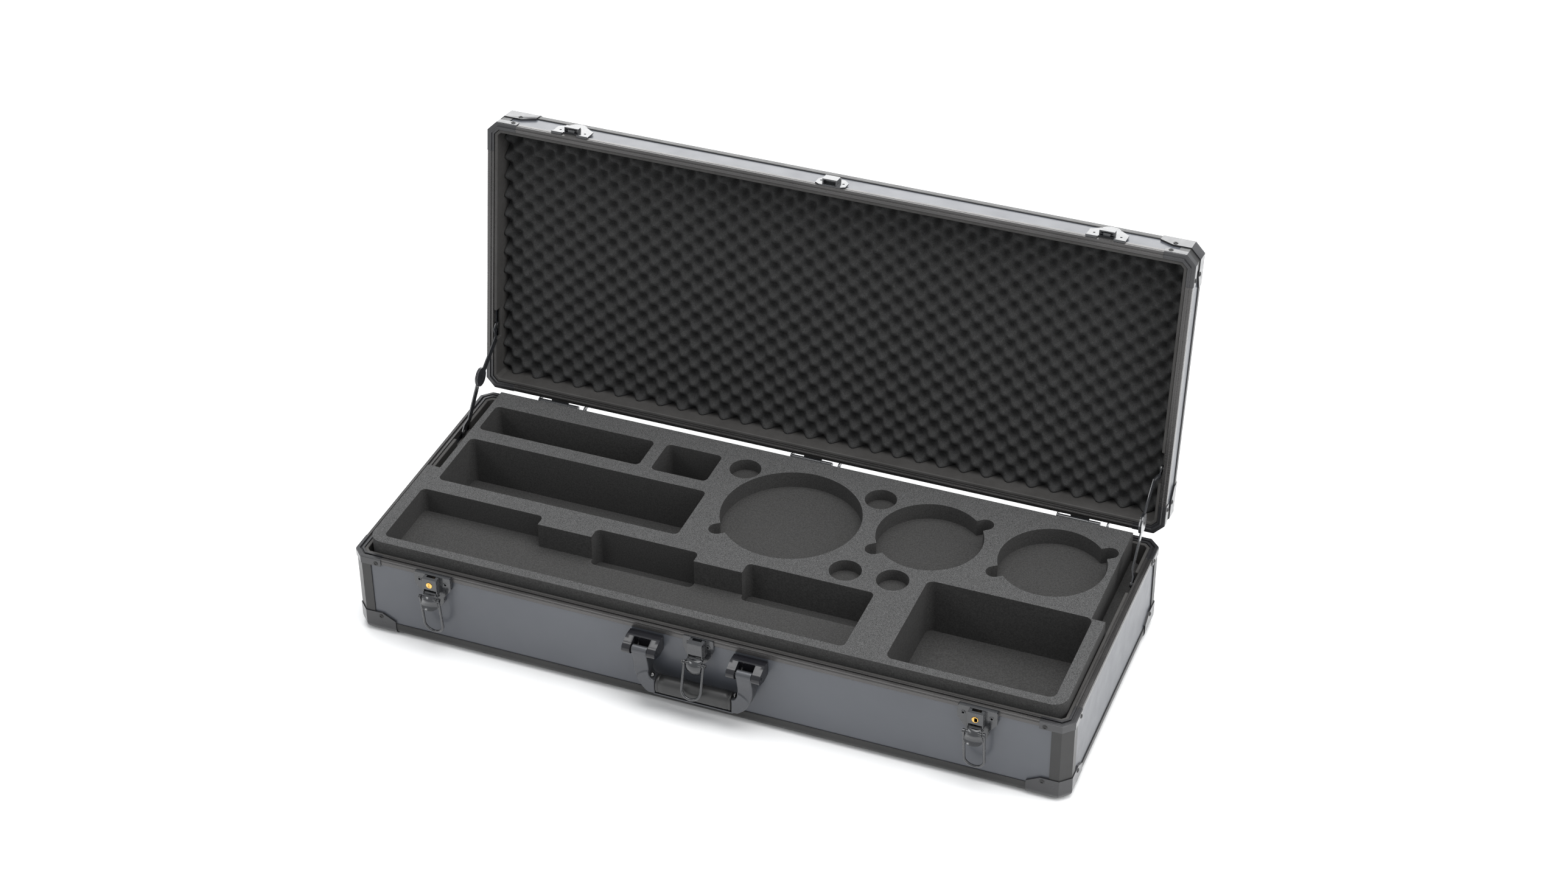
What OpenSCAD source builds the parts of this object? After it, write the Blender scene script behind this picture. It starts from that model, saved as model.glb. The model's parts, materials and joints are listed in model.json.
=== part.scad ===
// Aluminium-framed hard case with a hinged lid, shown open.
// Origin: centre of the case outline on the plane it rests on. +X along the front, +Y to the back, +Z up.

/* [Case] */
// Outside width across the rim rails
case_w = 800; // [760:10:860]
// Outside depth across the rim rails
case_d = 324; // [316:2:340]
// Height of the base's rim plane above the ground
base_h = 101; // [99:1:110]
// Height of the lid from its own rim plane
lid_h = 48; // [47:0.5:54]
// Leg of the 45 degree chamfer at each upright corner
corner_cut = 10.4; // [9:0.2:11]
// Angle that the lid stands open
open_angle = 98.84; // [95:0.02:100]

/* [Shell] */
// Height of the rim rail's face
rim_face = 7.6; // [7:0.1:9]
// Height of the rounded edge rail below its border line
edge_face = 15; // [13:0.5:16]
// Outer radius of the rounded edge rail
edge_r = 9; // [7:0.5:9]
// Thickness of the laminate panels
panel_t = 4; // [3:0.1:4]
// Thickness of the soft liner band
liner_t = 4; // [3:0.1:4]
// How far the corner fittings stand proud of the rails
proud = 1; // [0.6:0.1:1.2]
// Gap left between the two rims when the lid is shut
seal_gap = 0.4; // [0.3:0.1:0.6]

/* [Foam] */
// How far the foam tray stands above the rim
tray_proud = 13; // [10:0.5:14]
// Thickness of the pad under the tray
pad_t = 10; // [6:1:12]
// Depth of the lid foam's crests below the lid's rim
lid_foam_recess = 18; // [17:0.5:20]

/* [Latches] */
// Distance of the two outer latches from the centre
latch_x = 303; // [290:1:310]
// Length of an outer latch's wire bail
side_bail_len = 50; // [46:1:51]
// Length of the centre latch's wire bail
centre_bail_len = 42; // [40:1:43]
// Radius of the bail wire
wire_r = 1.5; // [1.3:0.1:1.6]

/* [Handle] */
// Distance of each handle bracket from the centre
bracket_x = 58; // [55:1:60]
// Length of the grip
grip_len = 85; // [80:1:86]

/* [Hidden] */
$fn = 32;

// Colours
laminate = [0.22, 0.23, 0.26];
anodised = [0.16, 0.16, 0.18];
black_steel = [0.06, 0.06, 0.07];
steel = [0.45, 0.45, 0.48];
soft_liner = [0.17, 0.17, 0.18];
soft_foam = [0.12, 0.12, 0.13];
rubber_black = [0.10, 0.10, 0.11];
brass_yellow = [0.80, 0.60, 0.25];

// Insets of the layers, measured in from the rails' outer face
panel_out = 1.2;
panel_in = panel_out + panel_t;
rail_in = panel_in + 2.4;
liner_in = rail_in + liner_t;
play = 0.05;
front_y = -case_d / 2;
border = proud + edge_face;
lid_z = base_h + seal_gap;

// Lid hinge axis
hinge_y = case_d / 2 + 4.3;
hinge_z = base_h;
hinge_x = [-308, 0, 308];
knuckle_r = 3;
hinge_pin_r = 1.5;

// Corner fittings: how far each reaches along a side, from the outline's corner
rim_corner_leg = 34;
ball_corner_leg = 45;
ball_step = 30;
rim_corner_face = 9.6;
ball_corner_face = border + 11;
post_flange = 21;
edge_reach = 9.5;
rivet_leg = 28;

// Foam tray
tray_gap = 1;
tray_top = base_h + tray_proud;
floor_z = 8;
tray_low = floor_z + pad_t;
channel_depth = 38;
channel_front = -6;
channel_w = 15;

// Lid stays: both pivots lie on one line across the rim, and the arms are of one length
stay_y = 86;
stay_rise = 5.5;
stay_arm = 65.3;
stay_w = 8.4;
stay_t = 1.4;
knee_r = 11;
stud_r = 2;
pad_x = case_w / 2 - 9.9;
lower_x = case_w / 2 - 12.7;
upper_x = lower_x - 1.8;
pivot_reach = norm([hinge_y - stay_y, stay_rise]);
pivot_half = atan2(stay_rise, hinge_y - stay_y);
chord_half = (open_angle + 2 * pivot_half) / 2;
knee_open = acos(pivot_reach * sin(chord_half) / stay_arm);
lower_angle = 90 + pivot_half - chord_half + knee_open;
upper_angle = 270 + pivot_half - chord_half - knee_open;

// Latches, as distances out from the front face and up from the ground
lever_pin = [9.5, base_h - 21];
bail_pin = [14.5, base_h - 24.5];
latch_pin_r = 1.2;
housing_w = 16.6;
housing_out = 12.2;
housing_top = base_h - 1.2;
housing_low = base_h - 15;
lock_z = base_h - 8.6;
side_lean = -6.5;
centre_lean = 17;

// Handle, as distances out from the front face and up from the ground
handle_pin = [19, base_h - 19];
handle_pin_r = 1.8;
grip_axis = [12.6, base_h - 62];

// ---- Outlines -------------------------------------------------------------------------------

// The case outline with chamfered corners, moved in by inset
module outline(inset) {
    x = case_w / 2 - inset;
    y = case_d / 2 - inset;
    c = corner_cut - inset * (2 - sqrt(2));
    polygon([
        [x, c - y], [x, y - c], [x - c, y], [c - x, y],
        [-x, y - c], [-x, c - y], [c - x, -y], [x - c, -y]
    ]);
}

// A closed band between two insets, from low to high
module band(outer, inner, low, high) {
    translate([0, 0, low]) linear_extrude(high - low) difference() {
        outline(outer);
        outline(inner);
    }
}

module rounded(w, d, r) {
    square([w - 2 * r, d], center = true);
    square([w, d - 2 * r], center = true);
    for (sx = [-1, 1], sy = [-1, 1]) translate([sx * (w / 2 - r), sy * (d / 2 - r)]) circle(r);
}

module four_corners() {
    for (mx = [0, 1], my = [0, 1]) mirror([mx, 0, 0]) mirror([0, my, 0]) children();
}

module both_ends() {
    for (mx = [0, 1]) mirror([mx, 0, 0]) children();
}

// Places: a shell is drawn with its rim plane at 0 and its closed end towards +Z
module in_base() {
    translate([0, 0, base_h]) mirror([0, 0, 1]) children();
}

module open_lid() {
    translate([0, hinge_y, hinge_z]) rotate([-open_angle, 0, 0]) translate([0, -hinge_y, -hinge_z]) children();
}

module in_lid() {
    open_lid() translate([0, 0, lid_z]) children();
}

// Out from the front face: x along the case, y up from the ground, z out
module on_front(x = 0) {
    translate([x, front_y, 0]) rotate([90, 0, 0]) children();
}

// A profile drawn as [out from the front face, up], drawn out along X between two places
module along_x(from, to) {
    translate([from, front_y, 0]) rotate([90, 0, 90]) mirror([1, 0, 0]) linear_extrude(to - from) children();
}

// A round bar along X at [out, up]
module bar_x(place, r, from, to) {
    translate([from, front_y - place[0], place[1]]) rotate([0, 90, 0]) cylinder(r = r, h = to - from);
}

// ---- Shell parts, shared by base and lid -----------------------------------------------------

module keep_long(half, low, high) {
    intersection() {
        children();
        translate([-half, -case_d, low]) cube([2 * half, 2 * case_d, high - low]);
    }
}

module keep_short(half, low, high) {
    intersection() {
        children();
        translate([-case_w, -half, low]) cube([2 * case_w, 2 * half, high - low]);
    }
}

module rim_profile(tongue) {
    difference() {
        band(0, rail_in, 0, rim_face);
        band(panel_out - play, panel_in + play, 3, rim_face + 1);
        for (h = [1.5, 2.5]) band(-1, 0.4, h, h + 0.4);
        band(-1, 0.35, rim_face - 0.6, rim_face + 1);
        if (!tongue) band(3, 5.4, -1, 2.1);
    }
    if (tongue) band(3.5, 4.9, -1.7, 0.2);
}

module long_rim_rails(tongue) {
    keep_long(case_w / 2 - rim_corner_leg, -5, 20) rim_profile(tongue);
}

module short_rim_rails(tongue) {
    keep_short(case_d / 2 - rim_corner_leg, -5, 20) rim_profile(tongue);
}

// Plates that wrap the chamfer and cover the rail ends
module rim_corners(tongue) {
    four_corners() intersection() {
        difference() {
            union() {
                band(-proud, rail_in, 0, rim_face);
                band(-proud, 0, 0, rim_corner_face);
            }
            band(panel_out - play, panel_in + play, 3, rim_face + 1);
            band(-proud - 1, 0.5 - proud, -0.1, 1.2);
            if (!tongue) band(3, 5.4, -1, 2.1);
        }
        translate([case_w / 2 - rim_corner_leg, case_d / 2 - rim_corner_leg, -1]) cube([60, 60, 20]);
    }
    if (tongue) four_corners() intersection() {
        band(3.5, 4.9, -1.7, 0.1);
        translate([case_w / 2 - rim_corner_leg, case_d / 2 - rim_corner_leg, -5]) cube([60, 60, 10]);
    }
}

module corner_posts(depth) {
    low = rim_face + 0.1;
    high = depth - ball_corner_face - 0.1;
    reach = post_flange;
    four_corners() difference() {
        intersection() {
            union() {
                band(0, panel_out, low, high);
                translate([0, 0, low]) linear_extrude(high - low) intersection() {
                    difference() {
                        outline(0);
                        outline(rail_in);
                    }
                    translate([case_w / 2 - corner_cut, case_d / 2 - corner_cut]) square(30);
                }
            }
            translate([case_w / 2 - reach, case_d / 2 - reach, -1]) cube([60, 60, 120]);
        }
        band(-2, 0.02, 0, rim_corner_face + 0.05);
    }
}

// Wall panels slide into the channels of the rim rails and the edge rails
module wall_panels(depth) {
    band(panel_out, panel_in, 3.1, depth - border + 6);
}

module front_rear_panel(depth, sy) {
    half = case_w / 2 - corner_cut - 0.1;
    intersection() {
        wall_panels(depth);
        translate([-half, sy < 0 ? -case_d : 0, -1]) cube([2 * half, case_d, 120]);
    }
}

module side_panel(depth, sx) {
    half = case_d / 2 - corner_cut - 0.1;
    intersection() {
        wall_panels(depth);
        translate([sx < 0 ? -case_w : 0, -half, -1]) cube([case_w, 2 * half, 120]);
    }
}

module end_panel(depth) {
    translate([0, 0, depth - floor_z]) linear_extrude(panel_t) outline(6.2);
}

// Section of the rounded edge rail: [in from the outer face, depth below the rim]
module edge_section(depth) {
    low = depth - border;
    high = depth - proud;
    translate([0, low]) square([edge_r, high - edge_r - low]);
    translate([edge_r, low]) square([edge_reach - edge_r, high - low]);
    intersection() {
        translate([edge_r, high - edge_r]) circle(edge_r, $fn = 48);
        translate([0, high - edge_r]) square(edge_r);
    }
}

module edge_slots(depth) {
    low = depth - border;
    band(panel_out - play, panel_in + play, low - 20, low + 6 + play);
    translate([0, 0, low - 1]) linear_extrude(depth - floor_z - low + 1) outline(rail_in);
    translate([0, 0, depth - floor_z - play]) linear_extrude(panel_t + 2 * play) outline(6.2 - play);
}

module edge_run_x(depth, half) {
    for (my = [0, 1]) mirror([0, my, 0]) translate([-half, case_d / 2, 0]) rotate([90, 0, 90])
        linear_extrude(2 * half) mirror([1, 0, 0]) edge_section(depth);
}

module edge_run_y(depth, half) {
    for (mx = [0, 1]) mirror([mx, 0, 0]) translate([case_w / 2, half, 0]) rotate([90, 0, 0])
        linear_extrude(2 * half) mirror([1, 0, 0]) edge_section(depth);
}

module long_edge_rails(depth) {
    difference() {
        edge_run_x(depth, case_w / 2 - ball_corner_leg);
        edge_slots(depth);
        edge_line(depth);
    }
}

module short_edge_rails(depth) {
    difference() {
        edge_run_y(depth, case_d / 2 - ball_corner_leg);
        edge_slots(depth);
        edge_line(depth);
    }
}

// Fine step along the border line between edge rail and panel
module edge_line(depth) {
    band(-1, 0.35, depth - border - 1, depth - border + 0.7);
}

// Cuts a far edge round: drawn along X, with the outer face at y = 0 and the closed end at z = high
module edge_cutter(r, high, length) {
    translate([-length / 2, 0, 0]) rotate([90, 0, 90]) linear_extrude(length) difference() {
        translate([-r, high - r]) square(r + 2);
        translate([-r, high - r]) circle(r, $fn = 48);
    }
}

// Stamped three-way corners with slanted ears
module ball_corners(depth) {
    x = case_w / 2;
    y = case_d / 2;
    r = edge_r + proud;
    top = depth - ball_corner_face;
    diag = (x + y - corner_cut) / sqrt(2) + proud;
    four_corners() difference() {
        translate([0, 0, top]) linear_extrude(depth - top) intersection() {
            outline(-proud);
            translate([x - ball_corner_leg + 0.05, y - ball_corner_leg + 0.05]) square(70);
        }
        translate([x, y + proud, 0]) edge_cutter(r, depth, 300);
        translate([x + proud, y, 0]) rotate([0, 0, -90]) edge_cutter(r, depth, 300);
        rotate([0, 0, -45]) translate([(x - y) / sqrt(2), diag, 0]) edge_cutter(r, depth, 200);
        ball_corner_room(depth);
        // Slanted upper edge of each ear
        translate([x, 0, 0]) rotate([-90, 0, 0]) ear_cut(depth, case_d);
        translate([0, y, 0]) rotate([-90, 0, -90]) mirror([1, 0, 0]) ear_cut(depth, case_w);
    }
}

// Room inside a ball corner for the panels and the liner
module ball_corner_room(depth) {
    low = depth - border;
    top = depth - ball_corner_face;
    translate([0, 0, top - 1]) linear_extrude(low + 7 + play - top) outline(panel_out - play);
    translate([0, 0, low]) linear_extrude(depth - floor_z - low) outline(rail_in);
    translate([0, 0, depth - floor_z - play]) linear_extrude(panel_t + 2 * play) outline(6.2 - play);
}

module ear_cut(depth, far) {
    top = depth - ball_corner_face;
    linear_extrude(far) polygon([
        [-ball_step, -top + 1], [-ball_step, -top],
        [-ball_corner_leg, -(depth - border - 3)], [-ball_corner_leg - 5, -(depth - border - 3)],
        [-ball_corner_leg - 5, -top + 1]
    ]);
}

// Hollow rivet head facing out along -Y, at [x, out, depth]
module rivet_head(r = 2.6) {
    rotate([90, 0, 0]) difference() {
        union() {
            cylinder(r = r, h = 0.35);
            cylinder(r1 = r, r2 = r - 0.7, h = 0.8);
        }
        translate([0, 0, 0.2]) cylinder(r = r * 0.5, h = 1);
    }
}

module shell_rivets(depth) {
    x = case_w / 2;
    y = case_d / 2;
    four_corners() {
        for (h = [rim_face - 1.2, depth - border - 6.6]) {
            translate([x - rivet_leg, y + proud, h]) rotate([0, 0, 180]) rivet_head();
            translate([x + proud, y - rivet_leg, h]) rotate([0, 0, 90]) rivet_head();
        }
    }
}

module liner_band(depth) {
    difference() {
        band(rail_in + play, liner_in, 1, depth - floor_z - 0.1);
        both_ends() translate([case_w / 2 - liner_in - 1, stay_y - 20, -1])
            cube([liner_in, 36, stay_rise + 8]);
    }
}

// ---- Foam ------------------------------------------------------------------------------------

// A pocket from x0 to x1 and y0 to y1, with rounded corners, that is deep below the tray's top
module pocket(x0, x1, y0, y1, deep, r = 6) {
    translate([(x0 + x1) / 2, (y0 + y1) / 2, tray_top - deep])
        linear_extrude(deep + 1) rounded(x1 - x0, y1 - y0, r);
}

module disc_pocket(x, y, r, deep) {
    translate([x, y, tray_top - deep]) cylinder(r = r, h = deep + 1, $fn = 64);
}

// A finger slot beside a disc, pointing away from the disc's centre
module finger_slot(x, y, r, angle) {
    translate([x, y, tray_top - 20]) rotate([0, 0, angle]) linear_extrude(21) {
        translate([r - 12, -9]) square([18, 18]);
        translate([r + 6, 0]) circle(9);
    }
}

module foam_tray() {
    half_x = case_w / 2 - liner_in - tray_gap;
    half_y = case_d / 2 - liner_in - tray_gap;
    color(soft_foam) difference() {
        translate([0, 0, tray_low]) linear_extrude(tray_top - tray_low) rounded(2 * half_x, 2 * half_y, 16);
        // Channels for the lid stays
        both_ends() translate([half_x - channel_w, channel_front, tray_top - channel_depth]) cube([40, 200, 60]);
        pocket(-365, -170, 75, 122, 66);
        pocket(-365, -81, -26, 56, 58);
        pocket(-373, 150, -138, -62, 30);
        pocket(-373, -228, -70, -47, 30);
        pocket(-165, -47, -70, -47, 44);
        pocket(8, 150, -70, -45, 44);
        pocket(-155, -89, 73, 123, 40);
        pocket(195, 374, -139, -5, 66, 8);
        disc_pocket(20, 50, 77, 20);
        disc_pocket(172, 66, 58, 20);
        disc_pocket(307, 70, 58, 20);
        finger_slot(20, 50, 77, 218);
        finger_slot(172, 66, 58, 40);
        finger_slot(172, 66, 58, 220);
        finger_slot(307, 70, 58, 35);
        finger_slot(307, 70, 58, 215);
        for (p = [[-57, 110], [101, 110], [108, -20], [160, -18]]) disc_pocket(p[0], p[1], 17.5, 14);
    }
}

module foam_floor_pad() {
    half_x = case_w / 2 - liner_in - tray_gap;
    half_y = case_d / 2 - liner_in - tray_gap;
    color(soft_foam) translate([0, 0, floor_z + 0.1])
        linear_extrude(pad_t - 0.2) rounded(2 * half_x, 2 * half_y, 16);
}

module lid_foam() {
    half_x = case_w / 2 - liner_in - 0.4;
    half_y = case_d / 2 - liner_in - 0.4;
    color(soft_foam) in_lid() translate([0, 0, lid_foam_recess])
        linear_extrude(lid_h - floor_z - lid_foam_recess - 0.1) rounded(2 * half_x, 2 * half_y, 8);
}

// ---- Hinges ----------------------------------------------------------------------------------

hinge_half = 23.6;
middle_half = 10.6;
leaf_h = 24;

// One leaf in the plane of the rear wall: knuckles at the axis, plate away from it
module hinge_leaf(spans, cheeks) {
    difference() {
        union() {
            for (s = spans) {
                translate([s[0], 0, 0]) rotate([0, 90, 0]) cylinder(r = knuckle_r, h = s[1] - s[0]);
                translate([s[0], case_d / 2 + 0.1 - hinge_y, 1.5]) cube([s[1] - s[0], 4.2, 1.4]);
                translate([s[0], case_d / 2 + 0.1 - hinge_y, 1.5]) cube([s[1] - s[0], 1.3, 4]);
            }
            translate([-hinge_half, case_d / 2 + 0.1 - hinge_y, 4.5]) cube([2 * hinge_half, 1.3, leaf_h - 4.5]);
            if (cheeks) for (x = [-hinge_half - 1.7, 31]) {
                translate([x, 0, 0]) rotate([0, 90, 0]) cylinder(r = 4.1, h = 1.5);
                translate([x, case_d / 2 + 0.1 - hinge_y, 1]) cube([1.5, 4.2, leaf_h - 1]);
            }
            if (cheeks) translate([-hinge_half - 1.7, case_d / 2 + 0.1 - hinge_y, 8])
                cube([32.7 + hinge_half, 1.3, leaf_h - 8]);
        }
        translate([-40, 0, 0]) rotate([0, 90, 0]) cylinder(r = hinge_pin_r + play, h = 80);
    }
}

module hinge_base_leaves() {
    color(black_steel) for (x = hinge_x) translate([x, hinge_y, hinge_z]) mirror([0, 0, 1])
        hinge_leaf([[-hinge_half, -middle_half - 0.2], [middle_half + 0.2, hinge_half]], false);
}

module hinge_lid_leaves() {
    color(black_steel) open_lid() for (x = hinge_x) translate([x, hinge_y, hinge_z])
        hinge_leaf([[-middle_half, middle_half]], true);
}

// ---- Latches ---------------------------------------------------------------------------------

// Back plate outline in [along, up], top edge at 0; it narrows to a rounded foot
module plate_shape(w, foot, tall, cut) {
    polygon([
        [-w / 2 + 1, 0], [w / 2 - 1, 0], [w / 2, -1], [w / 2, -cut], [foot, -cut - foot],
        [foot, -tall + foot], [-foot, -tall + foot], [-foot, -cut - foot], [-w / 2, -cut], [-w / 2, -1]
    ]);
    translate([0, -tall + foot]) circle(foot);
}

module latch_plate(x, w, foot, tall, cut, rise) {
    color(black_steel) on_front(x) translate([0, base_h - 0.6, 0.1]) {
        difference() {
            linear_extrude(rise) plate_shape(w, foot, tall, cut);
            translate([0, -1.4, -1]) linear_extrude(rise) plate_shape(w - 2.8, foot - 1.4, tall - 2.8, cut - 0.6);
            translate([5.5, -tall + foot + 4, 0]) cube([1.5, 11, 20]);
            for (s = [-1, 1]) translate([s * (w / 2 - 6), -8.5, 0]) cylinder(r = 1.3, h = 20);
        }
        // Eyelets that hold the plate to the wall
        for (s = [-1, 1]) translate([s * (w / 2 - 6), -8.5, rise - 0.3]) difference() {
            cylinder(r = 2.5, h = 0.9);
            translate([0, 0, -1]) cylinder(r = 1.3, h = 4);
        }
    }
}

// Sheet housing: front and top faces, two sides that carry the lever pin
module latch_housing(x, from, lock) {
    color(black_steel) difference() {
        on_front(x) translate([-housing_w / 2, 0, from]) difference() {
            union() {
                translate([0, housing_low, 0]) cube([housing_w, housing_top - housing_low, housing_out - from]);
                translate([0, lever_pin[1], 0]) cube([housing_w, 8, lever_pin[0] + 2 - from]);
            }
            translate([1.2, 0, -1]) cube([housing_w - 2.4, housing_top - 1.2, housing_out - from - 0.2]);
            translate([1.2, 0, -1]) cube([housing_w - 2.4, housing_low, 20]);
            translate([3.3, housing_top - 3, -1]) cube([housing_w - 6.6, 10, 4.2]);
        }
        bar_x(lever_pin, latch_pin_r + 0.02, x - 20, x + 20);
        if (lock) translate([x, front_y, lock_z]) rotate([90, 0, 0]) cylinder(r = 3.55, h = 20);
    }
    color(black_steel) for (s = [-1, 1]) difference() {
        bar_x(lever_pin, 2.9, s < 0 ? x - housing_w / 2 : x + housing_w / 2 - 1.2,
              s < 0 ? x - housing_w / 2 + 1.2 : x + housing_w / 2);
        bar_x(lever_pin, latch_pin_r + 0.02, x - 20, x + 20);
        along_x(x - 20, x + 20) translate([-20, lever_pin[1]]) square([40, 20]);
    }
}

// Curved lever: knuckle, neck, shoulder over the bail axle and a flared tab
module lever(x, own_axle) {
    neck = housing_w - 3;
    tab = housing_w + 1;
    color(black_steel) difference() {
        union() {
            bar_x(lever_pin, 2.4, x - neck / 2, x + neck / 2);
            along_x(x - neck / 2, x + neck / 2) translate(lever_pin) rotate(-35) translate([0, -1.2])
                square([5, 2.4]);
            bar_x(bail_pin, 2.6, x - tab / 2, x + tab / 2);
            along_x(x - tab / 2, x + tab / 2) translate(bail_pin) lever_tab();
        }
        bar_x(lever_pin, latch_pin_r + play, x - 20, x + 20);
        bar_x(bail_pin, latch_pin_r + play, x - 20, x + 20);
    }
    if (own_axle) bail_axle(x);
}

// Flared tab in [out, up] from the bail axle
module lever_tab() {
    intersection() {
        translate([8.4, 2.4]) difference() {
            circle(11.2, $fn = 64);
            circle(9.4, $fn = 64);
        }
        polygon([[-2, 2], [8, -14], [14, -14], [11.5, -4], [2.5, 0]]);
    }
}

module bail_axle(x) {
    color(steel) {
        bar_x(bail_pin, latch_pin_r, x - 12.6, x + 12.6);
        for (s = [-1, 1]) bar_x(bail_pin, 1.9, s < 0 ? x - 13.4 : x + 12.6, s < 0 ? x - 12.6 : x + 13.4);
    }
}

// Wire loop that hangs from the axle; len is from the axle to the loop's far side
module bail(x, len, lean) {
    leg = 10.7;
    color(black_steel) translate([x, front_y - bail_pin[0], bail_pin[1]]) rotate([-lean, 0, 0]) {
        for (s = [-1, 1]) {
            difference() {
                union() {
                    translate([s * leg, 0, 0]) rotate([0, 90, 0]) cylinder(r = 2.5, h = 2.6, center = true);
                    translate([s * leg, 0, -len + leg + wire_r]) cylinder(r = wire_r, h = len - leg - wire_r - 1);
                }
                rotate([0, 90, 0]) cylinder(r = latch_pin_r + play, h = 60, center = true);
            }
        }
        translate([0, 0, -len + leg + wire_r]) rotate([90, 0, 0]) rotate([0, 0, 180])
            rotate_extrude(angle = 180) translate([leg, 0]) circle(wire_r);
    }
}

module lock_cylinder(x) {
    color(brass_yellow) on_front(x) translate([0, lock_z, 6.5]) difference() {
        cylinder(r = 3.5, h = 6.3);
        translate([-0.5, -2.4, 5.4]) cube([1, 4.8, 2]);
    }
}

// Strikes on the lid's front wall: drawn in [along, up from the lid's rim, out]
module strike_face(x) {
    open_lid() translate([x, front_y, lid_z]) rotate([90, 0, 0]) children();
}

module side_strikes() {
    color(black_steel) for (x = [-latch_x, latch_x]) strike_face(x) difference() {
        union() {
            translate([0, 0, 0.1]) linear_extrude(1.4) {
                translate([-21, 1]) square([42, 19]);
                polygon([[-21, 20], [21, 20], [11, 28], [-11, 28]]);
                translate([0, 24]) circle(11);
            }
            translate([-21, 1, 0.1]) cube([42, 1.6, 3]);
            translate([-8.3, 8, 1]) cube([16.6, 6.3, 6.2]);
            translate([0, 14.2, 1]) cylinder(r = 8.3, h = 4.4);
        }
        translate([-6.8, 7, 1.8]) cube([13.6, 6, 1.5]);
        translate([-6.8, 7, 4.4]) cube([13.6, 5, 1.3]);
        for (s = [-1, 1]) translate([s * 14.5, 12, 0.8]) cylinder(r = 1.3, h = 9);
        translate([-9, 0, -1]) cube([18, 6.5, 10]);
    }
}

module centre_strike() {
    color(black_steel) strike_face(0) difference() {
        union() {
            translate([0, 0, 0.1]) linear_extrude(1.4) polygon([
                [-17, 4], [-12, 0.6], [12, 0.6], [17, 4], [17, 15], [11, 22], [-11, 22], [-17, 15]
            ]);
            translate([-8.3, 1.5, 1]) cube([16.6, 11.5, 7]);
            translate([-8.3, 1.5, 1]) cube([16.6, 14.5, 4.6]);
        }
        translate([-6.9, 0, 1.8]) cube([13.8, 6.5, 4.6]);
        for (s = [-1, 1]) translate([s * 12.6, 11, 0.8]) cylinder(r = 1.3, h = 9);
    }
}

// ---- Handle ----------------------------------------------------------------------------------

module handle_brackets() {
    color(rubber_black) for (x = [-bracket_x, bracket_x]) difference() {
        union() {
            along_x(x - 18.5, x + 18.5) polygon([
                [0.1, base_h - 26], [0.1, base_h - 10], [11, base_h - 9.4], [handle_pin[0] + 2, handle_pin[1] + 5.5],
                [handle_pin[0] + 2, handle_pin[1] - 5.5], [12, base_h - 27.5]
            ]);
            for (s = [-1, 1]) bar_x(handle_pin, 6.2, s < 0 ? x - 18.5 : x + 9.5, s < 0 ? x - 9.5 : x + 18.5);
        }
        along_x(x - 9.4, x + 9.4) polygon([
            [9.5, base_h - 40], [9.5, base_h - 14], [12.5, base_h - 5], [40, base_h - 5], [40, base_h - 40]
        ]);
        bar_x(handle_pin, handle_pin_r + 0.02, x - 30, x + 30);
    }
}

module handle_arm() {
    inner = bracket_x - 8.6;
    difference() {
        union() {
            // Eye on the pin, and the neck that leads down from it
            bar_x(handle_pin, 4.6, inner, inner + 17.2);
            along_x(inner, inner + 17.2) polygon([
                [handle_pin[0] - 4.6, handle_pin[1]], [handle_pin[0] + 4.6, handle_pin[1]],
                [grip_axis[0] + 7, handle_pin[1] - 22], [grip_axis[0] - 7, handle_pin[1] - 22]
            ]);
            handle_web(inner);
        }
        bar_x(handle_pin, handle_pin_r + play, 0, 100);
    }
}

// Broad curved web from the neck to the grip's end and the strip under the grip
module handle_web(inner) {
    low = grip_axis[1] - 12.5;
    top = handle_pin[1] - 20;
    tall = top - low;
    grip_end = grip_len / 2 + 0.2;
    translate([0, front_y - grip_axis[0] + 7, 0]) rotate([90, 0, 0]) linear_extrude(14) intersection() {
        difference() {
            translate([grip_end, low]) square([inner + 17.2 - grip_end, tall]);
            // Hollow side, from the neck to the end of the grip
            translate([grip_end, top + 3]) scale([inner - grip_end, 20]) circle(1, $fn = 64);
        }
        // Outer side: a quarter oval
        translate([grip_end, top]) scale([inner + 17.2 - grip_end, tall]) circle(1, $fn = 96);
    }
}

module handle_frame() {
    low = grip_axis[1] - 12.5;
    color(rubber_black) {
        both_ends() handle_arm();
        along_x(-grip_len / 2 - 1, grip_len / 2 + 1) translate([grip_axis[0] - 7, low]) square([14, 1.6]);
    }
}

module handle_grip() {
    color(rubber_black) intersection() {
        along_x(-grip_len / 2, grip_len / 2) translate([grip_axis[0], grip_axis[1]]) {
            circle(8.4, $fn = 48);
            translate([-8.4, -10.6]) square([16.8, 10.6]);
        }
        along_x(-grip_len / 2, grip_len / 2) translate([grip_axis[0], grip_axis[1]]) circle(10.7, $fn = 48);
    }
}

// ---- Pins and lid stays ----------------------------------------------------------------------

module pivot_pins() {
    color(steel) {
        for (x = hinge_x) translate([x - hinge_half, hinge_y, hinge_z]) rotate([0, 90, 0])
            cylinder(r = hinge_pin_r, h = 2 * hinge_half);
        for (x = [-latch_x, 0, latch_x])
            bar_x(lever_pin, latch_pin_r, x - housing_w / 2 - 0.4, x + housing_w / 2 + 0.4);
        for (x = [-bracket_x, bracket_x]) bar_x(handle_pin, handle_pin_r, x - 18, x + 18);
    }
}

// Shoulder rivet along X from the wall to the far side of an arm's end
module stay_stud() {
    from = pad_x - stay_t / 2 - 0.1;
    translate([from, 0, 0]) rotate([0, 90, 0]) cylinder(r = stud_r, h = case_w / 2 - rail_in - from);
    translate([pad_x - stay_t / 2 - 1.2, 0, 0]) rotate([0, 90, 0]) cylinder(r = 3.4, h = 1.1);
}

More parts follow.
